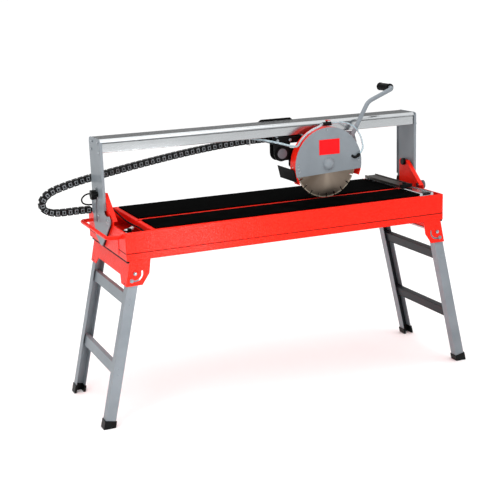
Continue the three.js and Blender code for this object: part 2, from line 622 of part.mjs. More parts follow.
const rimPath = arc(arbor.x, guard.z, guard.radius + 8, 148, 97, 8).map(([x, z]) => [x, 186, z]);
addPart(head, 'water_hose', tube(smoothPath([
  [-62, 404, 1094], [-48, 350, 1101], [-28, 292, 1102], [-2, 244, 1098], [32, 227, 1090],
  [72, 212, 1078], [96, 198, 1072], ...rimPath.slice(0, -1), [244, valve.y - 2, valve.z],
]), 5, 34), clearHose);
addPart(head, 'spray_hose', tube(smoothPath([
  [289.5, 200, 1157.5], [330, 200, 1159], [373, 200, 1151], [415, 199, 1126], [437, 197, 1092],
  [443, 190, 1062], [438, 176, 1040], [424, 166, 1023], [413, 166, 1012], [404, 167, 1004],
]), 4, 24), clearHose);

// ---- arbor and blade --------------------------------------------------------------------------

addPart(head, 'arbor_shaft', turnedY([[0, 182], [8, 182], [8, 197], [12.5, 197], [12.5, 203.9],
  [40, 203.9], [40, 209], [12, 209], [12, 262], [42, 262], [42, 345], [10, 345], [10, 372], [52, 372],
  [52, 383], [8, 385], [0, 385]], arbor.x, arbor.z), zincSteel);
addPart(head, 'outer_flange', turnedY([[8.3, 188], [22, 188], [22, 193], [40, 195], [40, 200.1],
  [12.8, 200.1], [12.8, 196.7], [8.3, 196.7], [8.3, 188]], arbor.x, arbor.z), zincSteel);

function diamondBlade() {
  const { radius, front, back, segments, gullet, gulletWidth, bore } = blade;
  const outline = [];
  for (let i = 0; i < segments; i += 1) {
    const middle = (i / segments) * 360;
    const half = THREE.MathUtils.radToDeg(gulletWidth / 2 / radius);
    const step = 360 / segments;
    outline.push(...arc(arbor.x, arbor.z, radius - gullet, middle - half, middle + half, 1));
    outline.push(...arc(arbor.x, arbor.z, radius, middle + half, middle + step - half, 2));
  }
  return slabY(outline, front, back, [circle(arbor.x, arbor.z, bore)]);
}

addPart(head, 'blade', diamondBlade(), bladeSteel);

// ---- origin on the floor, under the middle of the whole outline --------------------------------

saw.updateMatrixWorld(true);
const outlineBox = new THREE.Box3().setFromObject(saw, true);
const middle = outlineBox.getCenter(new THREE.Vector3());
saw.position.set(-middle.x, -middle.y, -outlineBox.min.z);

export default saw;
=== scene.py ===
from math import cos, pi, radians, sin, sqrt

import bpy
from mathutils import Matrix, Vector


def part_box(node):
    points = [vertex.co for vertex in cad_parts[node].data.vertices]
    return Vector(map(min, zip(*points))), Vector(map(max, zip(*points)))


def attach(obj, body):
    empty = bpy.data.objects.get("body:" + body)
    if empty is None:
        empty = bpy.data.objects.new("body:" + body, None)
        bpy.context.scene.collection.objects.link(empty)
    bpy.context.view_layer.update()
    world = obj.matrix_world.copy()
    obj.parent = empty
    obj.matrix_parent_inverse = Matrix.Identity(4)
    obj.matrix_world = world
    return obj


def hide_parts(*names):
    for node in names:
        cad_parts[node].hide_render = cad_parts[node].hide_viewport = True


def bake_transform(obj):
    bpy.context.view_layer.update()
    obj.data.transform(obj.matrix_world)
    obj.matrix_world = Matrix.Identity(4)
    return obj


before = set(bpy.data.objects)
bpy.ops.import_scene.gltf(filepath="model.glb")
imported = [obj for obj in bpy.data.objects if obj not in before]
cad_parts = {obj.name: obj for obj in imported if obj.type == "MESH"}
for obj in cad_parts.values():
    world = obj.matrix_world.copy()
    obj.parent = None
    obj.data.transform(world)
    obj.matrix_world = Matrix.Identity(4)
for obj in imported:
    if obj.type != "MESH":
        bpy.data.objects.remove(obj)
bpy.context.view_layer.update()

mm = 0.001
trayLow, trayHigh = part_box("water_tray")
trayMiddle = (trayLow[0] + trayHigh[0]) / 2
trayFront = trayLow[1]
axisX, axisY, axisZ = Vector((1, 0, 0)), Vector((0, 1, 0)), Vector((0, 0, 1))
sides = {"left": -1, "right": 1}
arbor = {"x": 262, "y": 202, "z": 976}  # the middle of the blade


def at(x, y, z):
    # millimetres from the tray's middle, from its front face and from the floor
    return Vector((trayMiddle + x * mm, trayFront + y * mm, z * mm))


camera = {"x": -1984.1, "y": -4062.3, "z": 1777.5, "heading": -23.57, "down": 13.89, "roll": -1.81,
          "lens": 77.67}


def placeCamera():
    heading, down, roll = (radians(camera[name]) for name in ("heading", "down", "roll"))
    forward = Vector((-sin(heading) * cos(down), cos(heading) * cos(down), -sin(down)))
    level = Vector((cos(heading), sin(heading), 0))
    above = level.cross(forward)
    right = cos(roll) * level + sin(roll) * above
    up = cos(roll) * above - sin(roll) * level
    turn = Matrix((right, up, -forward)).transposed().to_4x4()
    bpy.ops.object.camera_add()
    view = bpy.context.active_object
    view.matrix_world = Matrix.Translation(at(camera["x"], camera["y"], camera["z"])) @ turn
    view.data.lens = camera["lens"]
    view.data.clip_end = 300
    bpy.context.scene.camera = view


studio = {
    "sky": [(0.0, 1.1), (0.03, 1.1), (0.06, 0.15), (0.3, 0.2), (0.65, 1.35)],  # height, brightness
    "softboxes": [  # name, place, target, size in metres, watts
        ("overhead", (-300, -600, 3300), (0, 200, 900), 2.6, 28),
        ("frontLeft", (-2900, -1800, 1500), (100, 200, 950), 1.1, 22),
        ("frontSheen", (-230, -800, 584), (-560, 0, 770), 0.35, 5),
        ("rightFill", (3000, -1200, 1700), (300, 250, 850), 1.8, 12),
        ("backFill", (400, 2600, 3400), (0, 300, 900), 2.2, 12),
    ],
}


def addSoftbox(name, place, target, size, watts):
    bpy.ops.object.light_add(type="AREA", location=at(*place))
    lamp = bpy.context.active_object
    lamp.name = name
    lamp.data.shape = "SQUARE"
    lamp.data.size = size
    lamp.data.energy = watts
    lamp.visible_camera = False
    lamp.rotation_euler = (at(*target) - at(*place)).to_track_quat("-Z", "Y").to_euler()


placeCamera()
for softbox in studio["softboxes"]:
    addSoftbox(*softbox)
bpy.context.scene.view_settings.view_transform = "Standard"
print("camera and lights are in place")


def linear(color):
    channels = [int(color[i:i + 2], 16) / 255 for i in (1, 3, 5)]
    return (*(c / 12.92 if c <= 0.04045 else ((c + 0.055) / 1.055) ** 2.4 for c in channels), 1)


def addNode(tree, kind, values={}, links={}, stops=(), **settings):
    # a node with its settings, its sockets' values, what feeds it, and a ramp's places and colours
    made = tree.nodes.new(kind)
    for name, value in settings.items():
        setattr(made, name, value)
    while stops and len(made.color_ramp.elements) < len(stops):
        made.color_ramp.elements.new(0.5)
    for i, (place, color) in enumerate(stops):
        made.color_ramp.elements[i].position = place
        made.color_ramp.elements[i].color = color
    for name, value in values.items():
        made.inputs[name].default_value = value
    for name, source in links.items():
        tree.links.new(source, made.inputs[name])
    return made


def lightRoom():
    # a pale room with a dim band above the horizon, as beyond a studio's lights
    world = bpy.data.worlds.new("paleRoom")
    world.use_nodes = True
    tree = world.node_tree
    view = addNode(tree, "ShaderNodeTexCoord")
    parts = addNode(tree, "ShaderNodeSeparateXYZ", links={0: view.outputs["Generated"]})
    bands = addNode(tree, "ShaderNodeValToRGB", links={"Fac": parts.outputs["Z"]},
                    stops=[(height, (*[brightness] * 3, 1)) for height, brightness in studio["sky"]])
    # the dim band is for reflections; the backdrop itself stays white
    seen = addNode(tree, "ShaderNodeLightPath")
    factor, seenIndirectly, seenDirectly, mixed = 0, 6, 7, 2  # a colour Mix node's sockets
    backdrop = addNode(tree, "ShaderNodeMix", {seenDirectly: (1, 1, 1, 1)},
                       {factor: seen.outputs["Is Camera Ray"], seenIndirectly: bands.outputs["Color"]},
                       data_type="RGBA")
    tree.links.new(backdrop.outputs[mixed], tree.nodes["Background"].inputs["Color"])
    bpy.context.scene.world = world


lightRoom()


def startMaterial(name, color, **sockets):
    material = bpy.data.materials.new(name)
    material.use_nodes = True
    tree = material.node_tree
    shader = tree.nodes["Principled BSDF"]
    shader.inputs["Base Color"].default_value = linear(color)
    for socket, value in sockets.items():
        shader.inputs[socket.replace("_", " ")].default_value = value
    coords = addNode(tree, "ShaderNodeTexCoord").outputs["Object"]
    return material, tree, shader, coords


def perMm(size):
    return 1 / (size * mm)


waveTurn = 6.283  # with it a Wave texture's stripes lie about twice the given size apart


def dress(tree, shader, relief, depth, strength, tint, colors, roughness, span=(0.3, 0.7)):
    # relief lifts the surface by depth mm; tint spreads two colours and two roughnesses over it
    bump = addNode(tree, "ShaderNodeBump", {"Strength": strength, "Distance": depth * mm},
                   {"Height": relief})
    ramp = addNode(tree, "ShaderNodeValToRGB", links={"Fac": tint},
                   stops=list(zip(span, map(linear, colors))))
    rough = addNode(tree, "ShaderNodeMapRange", {"To Min": roughness[0], "To Max": roughness[1]},
                    {"Value": tint})
    tree.links.new(bump.outputs["Normal"], shader.inputs["Normal"])
    tree.links.new(ramp.outputs["Color"], shader.inputs["Base Color"])
    tree.links.new(rough.outputs["Result"], shader.inputs["Roughness"])


def hammerEnamel():
    # baked red enamel over steel: a hammered gloss skin whose dimples break up the highlights
    material, tree, shader, coords = startMaterial(
        "hammer_enamel_red", "#EE140A", Roughness=0.36, Specular_IOR_Level=0.1, Coat_Weight=0.02,
        Coat_Roughness=0.12)
    dimples = addNode(tree, "ShaderNodeTexVoronoi", {"Scale": perMm(5.5)}, {"Vector": coords},
                      feature="SMOOTH_F1")
    ripple = addNode(tree, "ShaderNodeTexNoise", {"Scale": perMm(9), "Detail": 3.0}, {"Vector": coords})
    blend = addNode(tree, "ShaderNodeMath", links={0: dimples.outputs["Distance"],
                                                   1: ripple.outputs["Fac"]}, operation="ADD")
    dress(tree, shader, blend.outputs["Value"], 1.4, 0.75, ripple.outputs["Fac"],
          ("#EC1F11", "#F82817"), (0.28, 0.4))
    return material


def powderCoat(name, dark, light, gloss=0.4):
    # polyester powder coat on bent steel: even, with a fine orange peel
    material, tree, shader, coords = startMaterial(name, light, Roughness=0.42, Specular_IOR_Level=gloss)
    peel = addNode(tree, "ShaderNodeTexNoise", {"Scale": perMm(3), "Detail": 2.0}, {"Vector": coords})
    cloud = addNode(tree, "ShaderNodeTexNoise", {"Scale": perMm(120), "Detail": 2.0},
                    {"Vector": coords})
    dress(tree, shader, peel.outputs["Fac"], 0.4, 0.18, cloud.outputs["Fac"], (dark, light), (0.36, 0.46))
    return material


def drawnMetal(name, dark, light, roughness, stretch):
    # extruded or turned metal: fine die lines that run along the piece
    material, tree, shader, coords = startMaterial(name, light, Metallic=1.0, Roughness=roughness)
    along = addNode(tree, "ShaderNodeMapping", {"Scale": stretch}, {"Vector": coords})
    lines = addNode(tree, "ShaderNodeTexNoise", {"Scale": perMm(2.2), "Detail": 3.0},
                    {"Vector": along.outputs["Vector"]})
    dress(tree, shader, lines.outputs["Fac"], 0.1, 0.04, lines.outputs["Fac"], (dark, light),
          (roughness * 0.85, roughness * 1.2))
    return material


def mouldedPlastic(name, dark, light, roughness, grain, gloss=0.5):
    # injection-moulded plastic: a spark-eroded grain and low, even gloss
    material, tree, shader, coords = startMaterial(name, light, Roughness=roughness, IOR=1.52,
                                                   Specular_IOR_Level=gloss)
    texture = addNode(tree, "ShaderNodeTexNoise", {"Scale": perMm(grain), "Detail": 4.0},
                      {"Vector": coords})
    dress(tree, shader, texture.outputs["Fac"], 0.3, 0.25, texture.outputs["Fac"], (dark, light),
          (roughness * 0.85, roughness * 1.15))
    return material


def matRubber():
    # ribbed rubber sheet: ribs along the table, a faint dusting between them
    material, tree, shader, coords = startMaterial("ribbed_rubber", "#030303", Roughness=0.85,
                                                   Specular_IOR_Level=0.005)
    ribs = addNode(tree, "ShaderNodeTexWave", {"Scale": perMm(7) / waveTurn, "Distortion": 0.0},
                   {"Vector": coords}, bands_direction="Y")
    dust = addNode(tree, "ShaderNodeTexNoise", {"Scale": perMm(60), "Detail": 5.0}, {"Vector": coords})
    dress(tree, shader, ribs.outputs["Fac"], 0.6, 0.25, dust.outputs["Fac"],
          ("#020202", "#070808"), (0.65, 0.85), (0.4, 0.75))
    return material


def groundSteel():
    # blade core: ground in rings, warm grey, with lighter sectors round the blade painted in as highlights
    material, tree, shader, coords = startMaterial("ground_blade_steel", "#8C7B6A", Metallic=1.0,
                                                   Roughness=0.3, Anisotropic=0.85)
    centred = addNode(tree, "ShaderNodeMapping", {"Location": -at(arbor["x"], arbor["y"], arbor["z"])},
                      {"Vector": coords})
    upright = addNode(tree, "ShaderNodeMapping", {"Rotation": (radians(90), 0, 0)},
                      {"Vector": centred.outputs["Vector"]})
    sweep = addNode(tree, "ShaderNodeTexGradient", links={"Vector": upright.outputs["Vector"]},
                    gradient_type="RADIAL")
    # the grinding marks run round the blade, so each highlight spreads out as a wedge
    tangent = addNode(tree, "ShaderNodeTangent", direction_type="RADIAL", axis="Y")
    tree.links.new(tangent.outputs["Tangent"], shader.inputs["Tangent"])
    rings = addNode(tree, "ShaderNodeTexWave", {"Scale": perMm(3) / waveTurn, "Distortion": 1.5},
                    {"Vector": centred.outputs["Vector"]}, wave_type="RINGS", rings_direction="Y")
    # lighter and darker sectors by angle round the blade: painted highlight
    paintedHighlightSectors = addNode(tree, "ShaderNodeTexNoise", {"Scale": 4.0, "Detail": 2.0},
                      {"W": sweep.outputs["Fac"]}, noise_dimensions="1D")
    dress(tree, shader, rings.outputs["Fac"], 0.1, 0.06, paintedHighlightSectors.outputs["Fac"],
          ("#6A5C50", "#A89C8F"), (0.24, 0.38), (0.3, 0.75))
    return material


def diamondRim():
    # sintered bronze and diamond: matt, sandy and slightly rough
    material, tree, shader, coords = startMaterial("sintered_diamond_segment", "#B7AB98", Metallic=0.75,
                                                   Roughness=0.55)
    grit = addNode(tree, "ShaderNodeTexVoronoi", {"Scale": perMm(1.5)}, {"Vector": coords})
    bump = addNode(tree, "ShaderNodeBump", {"Strength": 0.4, "Distance": 0.4 * mm},
                   {"Height": grit.outputs["Distance"]})
    ramp = addNode(tree, "ShaderNodeValToRGB", links={"Fac": grit.outputs["Distance"]},
                   stops=[(0.1, linear("#94866F")), (0.6, linear("#BDB3A2"))])
    tree.links.new(bump.outputs["Normal"], shader.inputs["Normal"])
    tree.links.new(ramp.outputs["Color"], shader.inputs["Base Color"])
    return material


def clearTube():
    # clear PVC hose with water in it: a cool, milky tint
    material, tree, shader, coords = startMaterial("clear_pvc_hose", "#B9CDD5", Roughness=0.16, IOR=1.4,
                                                   Transmission_Weight=0.45, Coat_Weight=0.3)
    haze = addNode(tree, "ShaderNodeTexNoise", {"Scale": perMm(25), "Detail": 2.0}, {"Vector": coords})
    ramp = addNode(tree, "ShaderNodeValToRGB", links={"Fac": haze.outputs["Fac"]},
                   stops=[(0.3, linear("#A9C0CA")), (0.7, linear("#C6D6DC"))])
    tree.links.new(ramp.outputs["Color"], shader.inputs["Base Color"])
    return material


def paleFloor():
    # a matt painted backdrop: plain, with no gloss
    return startMaterial("matt_backdrop", "#FFFFFF", Roughness=0.9, Specular_IOR_Level=0.1)[0]


# each finish with the material slot it stands for
finishes = {
    "redEnamel": (hammerEnamel(), "red_enamel"),
    "greyPowder": (powderCoat("powder_coat_grey", "#787F85", "#858C92", 0.3), "grey_powder"),
    # dark grey that paints the shade on leg and rung faces turned from the light
    "paintedShadeGrey": (powderCoat("painted_shade_grey", "#16191D", "#1F2328", 0.2), "grey_powder"),
    "railAluminium": (drawnMetal("anodised_aluminium", "#B2B5B7", "#C0C3C5", 0.22, (0.02, 1, 1)),
                      "rail_aluminium"),
    "fenceAluminium": (drawnMetal("anodised_aluminium_bronze", "#4C4844", "#6E6964", 0.34, (1, 0.02, 1)),
                       "dark_aluminium"),
    "blackPaint": (powderCoat("satin_black_paint", "#050505", "#0B0B0C", 0.1), "black_paint"),
    "blackPlastic": (mouldedPlastic("black_glass_filled_nylon", "#050606", "#0E0F10", 0.42, 1.6, 0.12),
                     "black_plastic"),
    "greyPlastic": (mouldedPlastic("grey_violet_nylon", "#4E4A50", "#5F5B61", 0.5, 2), "grey_cap"),
    "rubber": (matRubber(), "black_rubber"),
    "softRubber": (mouldedPlastic("black_nitrile_rubber", "#040404", "#0A0A0A", 0.6, 1.2, 0.08),
                   "black_rubber"),
    "zincSteel": (drawnMetal("zinc_plated_steel", "#8F959A", "#B9BEC1", 0.28, (1, 1, 1)), "zinc_steel"),
    "bladeSteel": (groundSteel(), "blade_steel"),
    "bladeRim": (diamondRim(), "blade_steel"),
    "clearHose": (clearTube(), "clear_hose"),
    "redVinyl": (mouldedPlastic("red_vinyl_label", "#EE0E16", "#F5141B", 0.45, 30, 0.12), "red_enamel"),
    "redPlastic": (mouldedPlastic("red_acetal", "#B81D16", "#C9241B", 0.35, 3), "red_enamel"),
    # light grey that paints highlights in the chain links' sunk panels
    "highlightGreyNylon": (mouldedPlastic("grey_nylon_painted_highlight", "#4A4E52", "#9A9FA3", 0.5, 5, 0.2), "black_plastic"),
    "whiteNylon": (mouldedPlastic("white_nylon_tie", "#DADDDD", "#F0F2F2", 0.4, 2), "clear_hose"),
}
print("materials are ready")


def makeActive(piece):
    bpy.ops.object.select_all(action="DESELECT")
    piece.select_set(True)
    bpy.context.view_layer.objects.active = piece


def settle(name):
    # names the new primitive and moves its place, turn and size into its mesh
    piece = bpy.context.active_object
    piece.name = name
    bpy.ops.object.transform_apply(location=True, rotation=True, scale=True)
    return piece


def applyModifier(piece, modifier):
    makeActive(piece)
    bpy.ops.object.modifier_apply(modifier=modifier.name)


def soften(piece, width, segments=2, angle=30):
    # rounds the sharp edges by width, in mm
    bevel = piece.modifiers.new("Edges", "BEVEL")
    bevel.width = width * mm
    bevel.segments = segments
    bevel.limit_method = "ANGLE"
    bevel.angle_limit = radians(angle)
    applyModifier(piece, bevel)
    bpy.ops.object.shade_smooth_by_angle(angle=radians(angle + 10))
    normals = piece.modifiers.new("Normals", "WEIGHTED_NORMAL")
    normals.keep_sharp = True
    applyModifier(piece, normals)
    return piece


def finish(piece, body, finishName, *nodes):
    material, slotName = finishes[finishName]
    piece.data.materials.clear()
    piece.data.materials.append(material)
    if nodes:
        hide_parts(*nodes)
    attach(piece, body)
    return piece


def joined(name, pieces):
    bpy.ops.object.select_all(action="DESELECT")
    for piece in pieces:
        piece.select_set(True)
    bpy.context.view_layer.objects.active = pieces[0]
    if len(pieces) > 1:
        bpy.ops.object.join()
    pieces[0].name = name
    return pieces[0]


def linked(name, mesh):
    piece = bpy.data.objects.new(name, mesh)
    bpy.context.scene.collection.objects.link(piece)
    makeActive(piece)
    return piece


def selectFaces(piece, wanted):
    # leaves the piece in edit mode with only the wanted faces selected
    makeActive(piece)
    bpy.ops.object.mode_set(mode="EDIT")
    bpy.ops.mesh.select_mode(type="FACE")
    bpy.ops.mesh.select_all(action="DESELECT")
    bpy.ops.object.mode_set(mode="OBJECT")
    for polygon in piece.data.polygons:
        polygon.select = wanted(polygon)
    bpy.ops.object.mode_set(mode="EDIT")


def closeUp(piece):
    # merges doubles and turns every face outwards
    makeActive(piece)
    bpy.ops.object.mode_set(mode="EDIT")
    bpy.ops.mesh.select_all(action="SELECT")
    bpy.ops.mesh.remove_doubles(threshold=0.01 * mm)
    bpy.ops.mesh.normals_make_consistent(inside=False)
    bpy.ops.object.mode_set(mode="OBJECT")


def refined(node, body, finishName, width):
    # the node's own shape with its flat faces whole again and its edges rounded
    piece = linked(node + "_finished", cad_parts[node].data.copy())
    bpy.ops.object.mode_set(mode="EDIT")
    bpy.ops.mesh.select_all(action="SELECT")
    bpy.ops.mesh.remove_doubles(threshold=0.01 * mm)
    bpy.ops.mesh.dissolve_limited(angle_limit=radians(0.5))
    bpy.ops.object.mode_set(mode="OBJECT")
    soften(piece, width)
    return finish(piece, body, finishName, node)


def bar(name, low, high):
    bpy.ops.mesh.primitive_cube_add(size=1, location=(low + high) / 2, scale=high - low)
    return settle(name)


def rod(name, radius, start, end, count=32):
    span = end - start
    bpy.ops.mesh.primitive_cylinder_add(
        vertices=count, radius=radius * mm, depth=span.length, location=(start + end) / 2,
        rotation=span.to_track_quat("Z", "Y").to_euler())
    return settle(name)


def hexBolt(name, face, outward, across, height):
    # a hexagon head on a washer; face is where it meets the sheet, and the rest is in mm
    seat = face + outward * (1.2 * mm)
    washer = rod(name, across * 0.68, face, seat, 28)
    head = rod(name, across * 0.56, seat, face + outward * (height * mm), 6)
    return joined(name, [soften(washer, 0.3), soften(head, 0.6)])


def turned(name, profile, centre, axis, steps=40):
    # a profile of radius and place along the axis, in mm, spun all the way round
    across = axis.orthogonal().normalized()
    points = [centre + axis * (along * mm) + across * (radius * mm) for radius, along in profile]
    mesh = bpy.data.meshes.new(name)
    mesh.from_pydata(points, [(i, i + 1) for i in range(len(points) - 1)], [])
    piece = linked(name, mesh)
    bpy.ops.object.mode_set(mode="EDIT")
    bpy.ops.mesh.select_all(action="SELECT")
    bpy.ops.mesh.spin(steps=steps, angle=2 * pi, center=centre, axis=axis)
    bpy.ops.object.mode_set(mode="OBJECT")
    closeUp(piece)
    makeActive(piece)
    bpy.ops.object.shade_smooth_by_angle(angle=radians(35))
    return piece


def slab(name, outline, low, high, along):
    # an outline in X and Z pushed out along Y, or in Y and Z along X; all in mm
    def place(a, b, c):
        return at(a, c, b) if along == "y" else at(c, a, b)
    mesh = bpy.data.meshes.new(name)
    mesh.from_pydata([place(a, b, low) for a, b in outline], [], [range(len(outline))])
    piece = linked(name, mesh)
    bpy.ops.object.mode_set(mode="EDIT")
    bpy.ops.mesh.select_all(action="SELECT")
    bpy.ops.mesh.extrude_region_move(
        TRANSFORM_OT_translate={"value": place(0, 0, high) - place(0, 0, low)})
    bpy.ops.object.mode_set(mode="OBJECT")
    closeUp(piece)
    return piece


def tube(name, route, radius):
    curve = bpy.data.curves.new(name, "CURVE")
    curve.dimensions = "3D"
    curve.bevel_depth = radius * mm
    curve.bevel_resolution = 6
    curve.use_fill_caps = True
    spline = curve.splines.new("POLY")
    spline.points.add(len(route) - 1)
    for point, place in zip(spline.points, route):
        point.co = (*place, 1)
    piece = linked(name, curve)
    bpy.ops.object.convert(target="MESH")
    piece = bpy.context.active_object
    closeUp(piece)
    makeActive(piece)
    bpy.ops.object.shade_smooth_by_angle(angle=radians(50))
    return piece


def around(piece, centre, axis, count):
    # copies of a piece, each with its own mesh, evenly round an axis
    pieces = [piece]
    for i in range(1, count):
        turn = Matrix.Rotation(2 * pi * i / count, 4, axis)
        copy = linked(piece.name, piece.data.copy())
        copy.data.transform(Matrix.Translation(centre) @ turn @ Matrix.Translation(-centre))
        pieces.append(copy)
    return joined(piece.name, pieces)


def roundedRoute(points, radius, steps=8):
    # straight runs with their corners rounded; points are in mm
    corners = [Vector(point) for point in points]
    route = [corners[0]]
    for i in range(1, len(corners) - 1):
        corner = corners[i]
        before = corner + (corners[i - 1] - corner).normalized() * radius
        after = corner + (corners[i + 1] - corner).normalized() * radius
        for k in range(steps + 1):
            t = k / steps
            route.append(before * (1 - t) ** 2 + corner * (2 * t * (1 - t)) + after * t ** 2)
    route.append(corners[-1])
    return [at(*point) for point in route]


def smoothRoute(points, spacing):
    # a centripetal curve through points in mm, cut into equal steps of about spacing mm
    knots = [Vector(point) for point in points]
    knots = [knots[0] * 2 - knots[1], *knots, knots[-1] * 2 - knots[-2]]
    fine = []
    for i in range(1, len(knots) - 2):
        p0, p1, p2, p3 = knots[i - 1:i + 3]
        d0, d1, d2 = (sqrt((b - a).length) for a, b in ((p0, p1), (p1, p2), (p2, p3)))
        start = ((p1 - p0) / d0 - (p2 - p0) / (d0 + d1) + (p2 - p1) / d1) * d1
        end = ((p2 - p1) / d1 - (p3 - p1) / (d1 + d2) + (p3 - p2) / d2) * d1
        for k in range(24):
            t = k / 24
            fine.append(p1 * (2 * t ** 3 - 3 * t ** 2 + 1) + start * (t ** 3 - 2 * t ** 2 + t)
                        + p2 * (3 * t ** 2 - 2 * t ** 3) + end * (t ** 3 - t ** 2))
    fine.append(knots[-2])
    lengths = [0]
    for a, b in zip(fine, fine[1:]):
        lengths.append(lengths[-1] + (b - a).length)
    count = max(2, round(lengths[-1] / spacing))
    route, k = [], 0
    for i in range(count + 1):
        target = lengths[-1] * i / count
        while k < len(fine) - 2 and lengths[k + 1] < target:
            k += 1
        share = (target - lengths[k]) / (lengths[k + 1] - lengths[k])
        route.append(at(*fine[k].lerp(fine[k + 1], min(share, 1))))
    return route


# the CAD model's own pieces by body: node, finish and edge radius in mm
framePieces = {
    "frame": [("water_tray", "redEnamel", 2.6), ("base_frame", "redEnamel", 1.2),
              ("table_panel", "redEnamel", 0.8), ("front_mat", "rubber", 1.0),
              ("rear_mat", "rubber", 1.0), ("left_leg_bracket", "redEnamel", 0.9),
              ("right_leg_bracket", "redEnamel", 0.9), ("left_gusset", "redEnamel", 1.0),
              ("right_gusset", "redEnamel", 1.0), ("stop_rail", "railAluminium", 0.5),
              ("water_pump", "blackPlastic", 2.0), ("left_tilt_pin", "zincSteel", 0.8),
              ("right_tilt_pin", "zincSteel", 0.8)],
    "fence": [("sliding_fence", "fenceAluminium", 0.5)],
    "bridge": [("left_upright", "greyPowder", 1.0), ("right_upright", "greyPowder", 1.0),
               ("cross_rail", "railAluminium", 0.8)],
    "carriage": [("carriage_frame", "blackPaint", 0.7)],
    "left_lower_roller_body": [("left_lower_roller", "zincSteel", 0.4)],
    "right_lower_roller_body": [("right_lower_roller", "zincSteel", 0.4)],
    "left_upper_roller_body": [("left_upper_roller", "zincSteel", 0.4)],
    "right_upper_roller_body": [("right_upper_roller", "zincSteel", 0.4)],
    "head": [("motor_plate", "blackPaint", 0.8), ("switch_box", "blackPlastic", 2.0),
             ("guard_back", "redEnamel", 0.8), ("guard_cover", "greyPowder", 0.6),
             ("mud_flap", "softRubber", 0.5), ("water_valve", "blackPlastic", 0.8)],
    "spindle": [("arbor_shaft", "zincSteel", 0.5), ("outer_flange", "zincSteel", 0.6)],
    "rocker": [("switch_rocker", "greyPlastic", 0.8)],
    "water_lever": [("valve_lever", "redPlastic", 0.8)],
}
for body, entries in framePieces.items():
    for node, finishName, width in entries:
        refined(node, body, finishName, width)
# legs: which way a channel opens, and where its web ends, in mm
channels = {"front_leg": (1, 12), "rear_leg": (-1, 501)}
rungPaintedShade = {"left": -0.5, "right": 0.5}  # a face that leans out less than this gets dark grey as painted shade
for side in sides:
    for part, (inward, webEnd) in channels.items():
        channel = refined(f"{side}_{part}", f"{side}_legs", "greyPowder", 1.0)
        channel.data.materials.append(finishes["paintedShadeGrey"][0])
        webY = at(0, webEnd, 0).y
        for polygon in channel.data.polygons:  # the right legs' webs get dark grey inside as painted shade
            if (side == "right" and polygon.normal.y * inward > 0.7
                    and (polygon.center.y - webY) * inward < 0):
                polygon.material_index = 1
    for part in ("upper_rung", "lower_rung"):
        rung = refined(f"{side}_{part}", f"{side}_legs", "greyPowder", 1.0)
        rung.data.materials.append(finishes["paintedShadeGrey"][0])
        for polygon in rung.data.polygons:
            if polygon.normal.x * sides[side] < rungPaintedShade[side]:
                polygon.material_index = 1
    for part in ("front_foot", "rear_foot"):
        refined(f"{side}_{part}", f"{side}_legs", "blackPlastic", 1.5)
print("the frame's own pieces are finished")


# tray ends, black strips as painted shadow, and table lip; places in mm
trayEnd = {"wall": 755, "plateThickness": 2, "plateFront": 100, "plateBack": 440, "plateLow": 712,
           "plateHigh": 773, "gapShadeNear": 743, "gapShadeFar": 753, "gapShadeFront": 2, "gapShadeBack": 511,
           "gapShadeLow": 694, "gapShadeHigh": 701.8, "slideNear": 757.2, "slideFar": 763.6,
           "slide": [(186, 812), (266, 738), (300, 706), (316, 702), (334, 705), (390, 732), (414, 800),
                     (404, 846), (214, 846)],
           "seamShadowLow": 730.6, "seamShadowHigh": 732.6,
           "seamShadow": [(-753, -0.6, 753, 2), (-753, 538, 753, 540.6), (-755.6, 2, -753, 538),
                    (753, 2, 755.6, 538)]}
bail = {"x": -818, "front": 42, "back": 432, "z": 797, "radius": 8, "bend": 22}


def between(side, near, far):
    # two places along X on one side of the saw, the lower one first
    return sorted((side * near, side * far))


def makeTrayEnds():
    front, back, low, high = (trayEnd[name] for name in ("plateFront", "plateBack", "plateLow", "plateHigh"))
    for name, side in sides.items():
        plate = slab(name + "_end_plate", [(front, low), (back, low), (back, high), (front, high)],
                     *between(side, trayEnd["wall"], trayEnd["wall"] + trayEnd["plateThickness"]), "x")
        finish(soften(plate, 0.7), "frame", "redEnamel")
        # a black rubber strip paints the shade under the tray's overhang, between the tray's frame and the leg
        # bracket
        left, right = between(side, trayEnd["gapShadeNear"], trayEnd["gapShadeFar"])
        gapShade = bar(name + "_bracket_gap_shade", at(left, trayEnd["gapShadeFront"], trayEnd["gapShadeLow"]),
                      at(right, trayEnd["gapShadeBack"], trayEnd["gapShadeHigh"]))
        finish(soften(gapShade, 0.8), "frame", "softRubber")
        # a dark slide plate keeps the upright's lower end off the enamel
        slide = slab(name + "_slide_plate", trayEnd["slide"],
                     *between(side, trayEnd["slideNear"], trayEnd["slideFar"]), "x")
        finish(soften(slide, 0.8), "frame", "blackPlastic")
    # a thin black rubber strip paints the shadow line between the tray and its frame
    runs = [bar("seamShadow", at(x0, y0, trayEnd["seamShadowLow"]), at(x1, y1, trayEnd["seamShadowHigh"]))
            for x0, y0, x1, y1 in trayEnd["seamShadow"]]
    finish(joined("tray_seam_shadow", [soften(run, 0.3, 1) for run in runs]), "frame", "softRubber")
    lip = bar("table_left_lip", at(-642, 8, 788), at(-640.2, 532, 819))
    finish(soften(lip, 0.6), "frame", "redEnamel")
    rim = bar("tray_left_shelf", at(-750, 5, 812), at(-748, 535, 819))
    finish(soften(rim, 0.6), "frame", "redEnamel")


